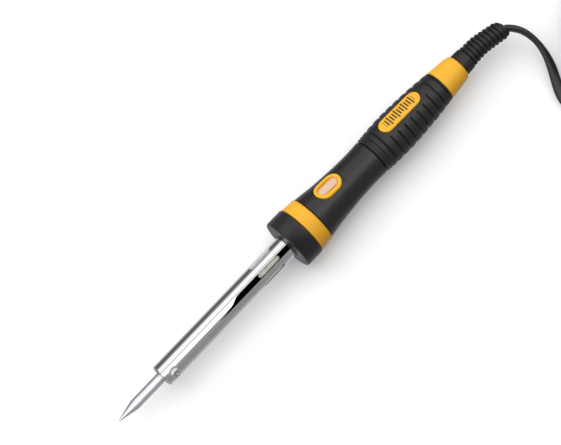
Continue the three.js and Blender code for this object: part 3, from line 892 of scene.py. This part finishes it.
chrome = barrel_chrome()
lip_inner, lip_back = 5.15, barrel_front + 0.55
barrel_corners = [(barrel_back, barrel_inner), (barrel_back, barrel_outer)]
barrel_corners += [(barrel_front, barrel_outer, 0.45), (barrel_front, lip_inner, 0.2)]
barrel_corners += [(lip_back, lip_inner, 0.2), (lip_back, barrel_inner)]
barrel = turned("barrel_tube", filleted(barrel_corners), chrome, to_iron, sides=180)
slot_outline = oblong(13.8, 2.4)
slot_turns = [math.radians(13.75 + 60 * i) for i in range(6)]
slot_x = -14.3
punches = [punch(slot_outline, slot_x, (4, 7), turn, chrome) for turn in slot_turns]
punches.append(punch(oblong(3.8, 3.8), clamp_x, (4, 7), clamp_turn, chrome))
cut_away(barrel, punches)
barrel.data.set_sharp_from_angle(angle=math.radians(35))
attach(barrel, "iron")
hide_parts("barrel")

# ==== Clamp screw =================================================================================
# A small pan-head screw with a cross recess goes through a washer and bears on the bit. Undoing it
# frees the bit, which then slides out of the barrel.

to_screw = to_iron @ Matrix.Translation((clamp_x, 0, 0)) @ Matrix.Rotation(clamp_turn, 4, "X")
# Turned pieces are drawn along x, and this stands that axis up along the screw.
to_screw_axis = to_screw @ Matrix.Rotation(-math.pi / 2, 4, "Y")


def screw_outline():
    corners = [(2.8, 0), (2.8, 1.1, 0.1)]
    for i in range(7):
        corners += [(3.0 + 0.5 * i, 1.12), (3.25 + 0.5 * i, 1.35, 0.04)]
    corners += [(6.65, 1.2), (6.65, 2.6, 0.12), (7.05, 2.6, 0.2), (8.0, 1.7, 0.9), (8.2, 0)]
    return filleted(corners, closed=False, pieces=5)


def recess_tool(finish, turn):
    """One tapering blade of the cross recess."""
    rings = []
    for height, half_long, half_wide in ((7.25, 0.35, 0.28), (8.6, 1.55, 0.42)):
        corners = [(half_long, half_wide), (-half_long, half_wide)]
        corners += [(-half_long, -half_wide), (half_long, -half_wide)]
        rings.append([(u, v, height) for u, v in corners])
    to_place = to_screw @ Matrix.Rotation(turn, 4, "Z")
    return lofted("recess", rings, finish, to_place=to_place)


screw = turned("screw", screw_outline(), steel, to_screw_axis, sides=56, closed=False, crease=30)
cut_away(screw, [recess_tool(steel, math.radians(20)), recess_tool(steel, math.radians(110))])
screw.data.set_sharp_from_angle(angle=math.radians(30))
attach(screw, "screw")
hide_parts("clamp_screw")
washer_corners = [(6.1, 1.6, 0.08), (6.1, 3.1, 0.12), (6.5, 3.1, 0.12), (6.5, 1.6, 0.08)]
washer = turned("washer", filleted(washer_corners), steel, to_screw_axis, sides=56)
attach(washer, "washer")
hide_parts("clamp_washer")

# ==== Flange ======================================================================================
# A pressed steel flange on the barrel's end, with a mica gasket behind it. Three screws fix it to the
# handle, inside the collar.

dress(steel, "barrel_flange", "flange_screw_1", "flange_screw_2", "flange_screw_3")
dress(mica, "heat_gasket")

# ==== Heat collar =================================================================================
# A deep moulded ring in satin black, the widest piece of the iron. It covers the flange, and the iron
# rests on it.


def satin_black(name, dark, light, rough=(0.36, 0.46)):
    """Black glass-filled plastic: satin, with a very fine grain and faint flow marks."""
    finish = Finish(name)
    flow = finish.grain(6, 3, stretch=(0.3, 1, 1))
    skin = finish.grain(0.22, 2)
    colour = finish.mix(flow, dark, light)
    gloss = finish.ramp(flow, [(0.3, rough[0]), (0.7, rough[1])])
    return finish.surface(colour, gloss, finish.relief(skin + flow * 0.6, 0.02))


collar_black = satin_black("collar_black", (0.010, 0.0095, 0.010), (0.017, 0.016, 0.017))
collar_corners = [
    (0, 6.3, 0.25),
    (0, 13.9, 1.1),
    (9.7, 13.9, 0.5),
    (9.7, 11.45),
    (6, 11.45),
    (2.2, 11),
    (2.2, 6.3, 0.25),
]
collar = turned("collar", filleted(collar_corners), collar_black, to_iron, sides=160)
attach(collar, "iron")
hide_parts("front_collar")

# ==== Front band ==================================================================================
# A yellow moulded ring between collar and handle. Four shallow steps run round it, and its rear edge
# has a fine rim.

yellow_deep, yellow_pale = (0.74, 0.36, 0.012), (0.82, 0.43, 0.02)


def satin_yellow():
    """Warm yellow plastic with a soft gloss, a touch deeper where it is thick."""
    finish = Finish("satin_yellow")
    cloud = finish.grain(7, 3)
    skin = finish.grain(0.3, 2)
    colour = finish.mix(cloud, yellow_deep, yellow_pale)
    rough = finish.ramp(cloud, [(0.3, 0.34), (0.7, 0.44)])
    return finish.surface(colour, rough, finish.relief(skin, 0.02))


yellow = satin_yellow()
band_front, band_back = 10.0, 17.55


def band_outline():
    """Steps that fall away towards the handle, with a rim at the rear."""
    corners = [(band_front, 11.5), (band_front, 13.5, 0.5)]
    step = 1.7
    for i in range(4):
        end = band_front + step * (i + 1)
        top = 13.5 - 0.085 * step * i
        corners += [(end - 0.34, top - 0.02, 0.15), (end - 0.14, top - 0.4, 0.08)]
        corners.append((end + 0.14, top - 0.4, 0.08))
    return filleted([*corners, (17.1, 12.98, 0.1), (band_back, 12.8, 0.35), (band_back, 11.5)], pieces=4)


band = turned("band", band_outline(), yellow, to_iron, sides=160, crease=40)
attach(band, "iron")
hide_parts("front_band")

# ==== Handle ======================================================================================
# One deep moulding in satin black: a waisted neck in front, and behind it a thinner bed for the grip.
# An oblong pocket on its upper left takes the pilot lamp.

front_turn = math.radians(-25.4)
lamp_x, bezel_size, lens_size = 32.7, (15.2, 10), (11.2, 5.4)
neck_stations = [(17.85, 12.5), (21.5, 12), (27.3, 11.2), (35, 10.5), (44.8, 9.87), (52.4, 9.73), (59.4, 10)]


def outline_through(stations, step=1.0):
    """A smooth outline through a few (along, radius) stations."""
    return [point.xy for point in smooth_line([(*station, 0) for station in stations], step)]


def radius_at(outline, along):
    for here, there in zip(outline, outline[1:]):
        if along <= there.x:
            share = (along - here.x) / (there.x - here.x)
            return here.y + (there.y - here.y) * max(0, share)
    return outline[-1].y


neck_outline = outline_through(neck_stations)
handle_front = [(6.2, 5.2), (6.2, 11.3), (17.95, 11.3), (17.95, 12.1), (18.35, 12.42)]
handle_back = [(59.3, 8.6), (107.2, 7.7), (107.2, 7.3), (110.9, 7.3)]
handle_back += [(110.9, 6.5), (107.2, 7), (60, 7), (56, 8.3)]
handle_outline = [Vector(p) for p in handle_front] + neck_outline[1:-1]
handle_outline += [Vector((59.0, 9.92)), Vector((59.3, 9.6))]
handle_outline += [Vector(p) for p in [*handle_back, (9.2, 8.3), (9.2, 5.2)]]
neck_black = satin_black("neck_black", (0.010, 0.010, 0.010), (0.017, 0.017, 0.0165), (0.34, 0.42))
handle = turned("handle", handle_outline, neck_black, to_iron, sides=160)
bezel_gap = 0.4
lamp_pocket = [size + 2 * bezel_gap for size in bezel_size]
cut_away(handle, [punch(oblong(*lamp_pocket), lamp_x, (8.8, 14), front_turn, neck_black)])
handle.data.set_sharp_from_angle(angle=math.radians(35))
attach(handle, "iron")
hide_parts("handle_shell")

# ==== Pilot lamp ==================================================================================
# A yellow bezel snaps into the pocket and holds a milky orange lens, ribbed inside. Under it lie a
# neon lamp and its series resistor.


def inlay(name, finish, x, size, levels, skin, closes=True):
    """A piece let into the skin at x: oblong rings, each shrunk by so much and so high over the skin."""
    rings = []
    length, width = size
    for shrink, height in levels:
        ring = []
        for u, v in oblong(length - 2 * shrink, width - 2 * shrink, 20):
            reach = radius_at(skin, x + u) + height
            ring.append((x + u, v, math.sqrt(max(reach * reach - v * v, 0.01))))
        rings.append(ring)
    to_place = to_iron @ Matrix.Rotation(front_turn, 4, "X")
    if not closes:
        rings.append(rings[0])
    return lofted(name, rings, finish, to_place=to_place, caps=(closes, closes))


def round_over(shrink, height, radius, pieces=5):
    """Levels of an edge rounded inwards from below."""
    return [
        (shrink + radius * (1 - math.cos(t)), height - radius + radius * math.sin(t))
        for t in (math.pi / 2 * i / pieces for i in range(pieces + 1))
    ]


bezel_levels = [(0, -1.2), *round_over(0, 0.35, 0.5), (1.3, 0.35), (1.7, 0.2), (1.95, -0.15), (2.05, -1.2)]
bezel = inlay("bezel", yellow, lamp_x, bezel_size, bezel_levels, neck_outline, closes=False)


def lens_milky():
    """Milky orange plastic, pink over the lamp, with fine ribs inside. A painted glow of light makes its
    left side, towards the light, a stronger orange.
    """
    finish = Finish("lens_milky")
    along, across, up = finish.parts(finish.millimetres())
    roll = (-across).math("ARCTAN2", up - axis_start.z) - front_turn
    side = roll * 10.6
    ribs = ((along - axis_start.x - lamp_x) * 5.2).math("SINE") * 0.5 + 0.5
    pale = finish.mix(ribs * 0.35, (0.83, 0.47, 0.33), (0.74, 0.37, 0.25))
    # Painted light: the left side of the lens, towards the light, is painted a stronger orange.
    painted_lit_side = side.fade(-0.4, -2.2)
    colour = finish.mix(painted_lit_side, pale, (0.82, 0.26, 0.03))
    edge = abs(side).fade(2.2, 2.7)
    colour = finish.mix(edge, colour, (0.80, 0.30, 0.04))
    moulded = finish.relief(ribs, 0.05)
    return finish.surface(colour, 0.22, moulded, Subsurface_Weight=0.3, Coat_Weight=0.4)


lens_levels = [(0, -1.5), (0, -0.25), (0.25, -0.1), (0.7, 0.05)]
lens_levels += [(1.2, 0.14), (1.7, 0.18), (2.2, 0.2), (2.66, 0.2)]
lens = inlay("lens", lens_milky(), lamp_x, lens_size, lens_levels, neck_outline)
for piece, slot in ((bezel, "yellow_plastic"), (lens, "lamp_lens")):
    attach(piece, "iron")
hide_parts("lamp_bezel")
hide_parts("lamp_lens")


def lamp_glass():
    """Drawn glass with fine cords in it, greyed by age."""
    finish = Finish("lamp_glass")
    cords = finish.grain(1.2, 2, stretch=(0.2, 1, 1))
    colour = finish.mix(cords, (0.80, 0.83, 0.82), (0.92, 0.94, 0.93))
    drawn = finish.relief(cords, 0.02)
    return finish.surface(colour, 0.05, drawn, Transmission_Weight=0.9, IOR=1.5)


dress(lamp_glass(), "neon_lamp")
dress(ceramic, "lamp_resistor")
dress(steel, "lamp_lead_1", "lamp_lead_2")

# ==== Terminals and cord clamp ====================================================================
# The heater's and the lamp's wires meet the flex's two cores in a small block with brass screws, and
# two steel cheeks pinch the flex so that a pull can't reach it.

dress(mottled("cream_plastic", (0.72, 0.66, 0.50), (0.84, 0.79, 0.64), 4, 0.35), "terminal_block")
brass = mottled("brass", (0.52, 0.36, 0.13), (0.72, 0.54, 0.24), 1.5, 0.2, 1.0)
dress(brass, *[f"terminal_screw_{i}" for i in range(1, 5)])
dress(mottled("core_brown", (0.10, 0.038, 0.015), (0.15, 0.06, 0.025), 3, 0.3), "supply_core_brown")
dress(mottled("core_blue", (0.024, 0.10, 0.34), (0.04, 0.15, 0.45), 3, 0.3), "supply_core_blue")
dress(steel, "cord_clamp_cheek_1", "cord_clamp_cheek_2", "cord_clamp_screw_1", "cord_clamp_screw_2")

# ==== Grip sleeve =================================================================================
# A softer black sleeve slipped over the handle. It starts with two fine beads and has nine overlapping
# rings, which fade out into a smooth pad round the plate.

grip_front, grip_back = 59.7, 107.2
grip_stations = [(59.7, 10.3), (66.3, 10.55), (76.3, 10.79), (86.5, 10.38), (94.8, 9.85), (107.2, 8.6)]
grip_outline = outline_through(grip_stations, 0.5)
plate_x, plate_size = 82.7, (26, 8)
ring_start, ring_pitch, ring_count = 66.4, 4.45, 9
bore_front, bore_back = 8.75, 7.85
thinnest_wall = 0.25


def pad_share(along, across):
    """1 on the smooth pad round the plate, 0 away from it. Across is counted on the skin."""
    straight = max(abs(along - plate_x) - (plate_size[0] - plate_size[1]) / 2, 0)
    away = math.hypot(straight, across) - plate_size[1] / 2
    return 1 - eased((away - 2.0) / 1.2)


def grip_relief(along, roll):
    """How far the sleeve stands over its outline, for the beads and the rings."""
    height = 0
    for bead in (60.7, 62.4):
        height += 0.45 * max(0, 1 - ((along - bead) / 0.7) ** 2)
    height -= 0.5 * eased((63.8 - along) / 0.5)
    if ring_start - 0.6 < along < ring_start + ring_pitch * ring_count:
        place = (along - ring_start) / ring_pitch
        share = place - math.floor(place)
        lap = 0.42 * math.sin(math.pi * min(1, share * 1.02)) ** 0.6 if place >= 0 else 0
        groove = 0.5 * max(0, 1 - (min(share, 1 - share) * ring_pitch / 0.5) ** 2)
        across = (roll - front_turn) * 10.5
        height += (lap - 0.30 - groove) * (1 - pad_share(along, across))
    return height


def grip_black():
    """Soft-touch black: matt, with a fine leathery grain."""
    finish = Finish("grip_black")
    cloud = finish.grain(5, 3)
    leather = finish.add("ShaderNodeTexVoronoi", {}, {"Vector": finish.millimetres(), "Scale": 2.2})
    skin = finish.grain(0.2, 2)
    colour = finish.mix(cloud, (0.008, 0.008, 0.008), (0.015, 0.015, 0.015))
    rough = finish.ramp(cloud, [(0.3, 0.40), (0.7, 0.52)])
    height = leather + skin * 0.6
    return finish.surface(colour, rough, finish.relief(height, 0.05))


def grip_rings(sides=220, step=0.22):
    """Rings of the sleeve's skin from front to back, then of its bore."""
    rings = []
    rows = round((grip_back - grip_front) / step)
    for i in range(rows + 1):
        along = grip_front + (grip_back - grip_front) * i / rows
        base = radius_at(grip_outline, along)
        bore = bore_front + (bore_back - bore_front) * i / rows
        edge = min(along - grip_front, grip_back - along)
        tuck = 0.35 * max(0, 1 - edge / 0.45) ** 2
        ring = []
        for j in range(sides):
            roll = 2 * math.pi * j / sides - math.pi
            out = max(base + grip_relief(along, roll) - tuck, bore + thinnest_wall)
            ring.append((along, -out * math.sin(roll), out * math.cos(roll)))
        rings.append(ring)
    for along, out in ((grip_back, bore_back), (grip_front, bore_front)):
        rolls = [2 * math.pi * j / sides - math.pi for j in range(sides)]
        rings.append([(along, -out * math.sin(roll), out * math.cos(roll)) for roll in rolls])
    return [*rings, rings[0]]


rubber = grip_black()
grip = lofted("grip", grip_rings(), rubber, to_place=to_iron, caps=(False, False), crease=50)
plate_gap = 0.35
pocket_size = [size + 2 * plate_gap for size in plate_size]
cut_away(grip, [punch(oblong(*pocket_size), plate_x, (9.3, 14), front_turn, rubber)])
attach(grip, "iron")
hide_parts("grip_sleeve")

# ==== Plate =======================================================================================
# A yellow oblong plate let into the grip. It carries only a printed scale of bars, tall and short.


def plate_print():
    """Yellow plastic with a printed row of upright bars inside a clear margin."""
    finish = Finish("plate_print")
    along, across, up = finish.parts(finish.millimetres())
    along = along - axis_start.x - plate_x
    roll = (-across).math("ARCTAN2", up - axis_start.z) - front_turn
    side = roll * 10.5
    cloud = finish.grain(7, 3)
    skin = finish.grain(0.3, 2)
    yellow_tone = finish.mix(cloud, yellow_deep, yellow_pale)
    pitch = 1.62
    beat = abs((along + pitch / 2) % pitch - pitch / 2)
    bar = 1 - beat.fade(0.34, 0.52)
    tall = (along + pitch * 1.5) % (3 * pitch) < pitch
    reach = tall * 0.8 + 1.9
    inside = (reach - abs(side)).fade(-0.08, 0.08)
    ends = (9.6 - abs(along)).fade(-0.05, 0.05)
    ink = bar * inside * ends
    colour = finish.mix(ink * 0.96, yellow_tone, (0.035, 0.024, 0.012))
    rough = finish.ramp(cloud, [(0.3, 0.34), (0.7, 0.44)])
    return finish.surface(colour, rough, finish.relief(skin - ink * 0.5, 0.03))


plate_levels = [(0, -1.0), *round_over(0, 0.22, 0.45), (0.8, 0.23)]
plate_levels += [(inset, 0.2) for inset in (1.4, 2.2, 3.0, 3.9)]
plate = inlay("plate", plate_print(), plate_x, plate_size, plate_levels, grip_outline)
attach(plate, "iron")
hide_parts("rating_plate")

# ==== Rear ferrule ================================================================================
# A tapered yellow ring that screws onto the handle's end and traps the boot's flange. Its rear edge is
# rounded.

ferrule_corners = [
    (107.5, 7.5),
    (107.5, 8.55, 0.45),
    (112.7, 8.02, 8),
    (116.5, 7.6, 8),
    (120.2, 6.95, 0.9),
    (121, 5.9, 0.4),
    (121, 5.15, 0.2),
    (116.8, 5.15),
    (116.8, 6.4),
    (111.4, 6.4),
    (111.4, 7.5),
]
ferrule = turned("ferrule", filleted(ferrule_corners), yellow, to_iron, sides=128)
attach(ferrule, "iron")
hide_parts("rear_ferrule")

# ==== Boot ========================================================================================
# A soft ribbed rubber boot keeps the flex from kinking. It is smooth next to the ferrule, then has nine
# rings, and it bends to the iron's right before it ends in a short nipple round the flex.

boot_front, boot_back, boot_bends, boot_softens = 113.4, 150.1, 133.5, 148


def boot_lean(along):
    """How far the boot, and the flex in it, lean to the iron's right at a station."""
    bend = max(0, along - boot_bends)
    soft = max(0, along - boot_softens)
    return 0.21 * bend * bend / (bend + 3) + 0.09 * soft * soft


def boot_corners():
    corners = [(boot_front, 2.9), (boot_front, 6), (116.4, 6), (116.4, 4.9), (121.3, 4.9), (121.3, 6.1, 0.3)]
    corners += [(126.5, 5.85, 0.6), (126.8, 4.7, 0.25)]
    for i in range(9):
        start, top = 127.15 + 2.35 * i, 5.6 - 0.06 * i
        corners += [(start, top - 1.2, 0.2), (start + 0.15, top, 0.6), (start + 1.6, top, 0.6)]
        corners += [(start + 1.75, top - 1.2, 0.2)]
    corners += [(148.5, 4.7, 0.5), (149.3, 4.2, 0.5)]
    return [*corners, (boot_back, 3.2, 0.25), (boot_back, 2.9), (140, 2.9)]


def boot_outline():
    """The outline with its long stretches divided, so that it can bend."""
    outline = filleted(boot_corners(), pieces=4)
    divided = []
    for here, there in zip(outline, [*outline[1:], outline[0]]):
        pieces = max(1, math.ceil(abs(there.x - here.x) / 1.0))
        divided += [here.lerp(there, i / pieces) for i in range(pieces)]
    return divided


boot = turned("boot", boot_outline(), boot_rubber, Matrix.Identity(4), sides=72, crease=45)
for vertex in boot.data.vertices:
    along = vertex.co.x * 1000
    vertex.co.y -= boot_lean(along) / 1000
    vertex.co += axis_start / 1000
boot.data.set_sharp_from_angle(angle=math.radians(45))
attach(boot, "iron")
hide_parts("cord_boot")
dress(lead.data.materials[0], "cord_in_boot")
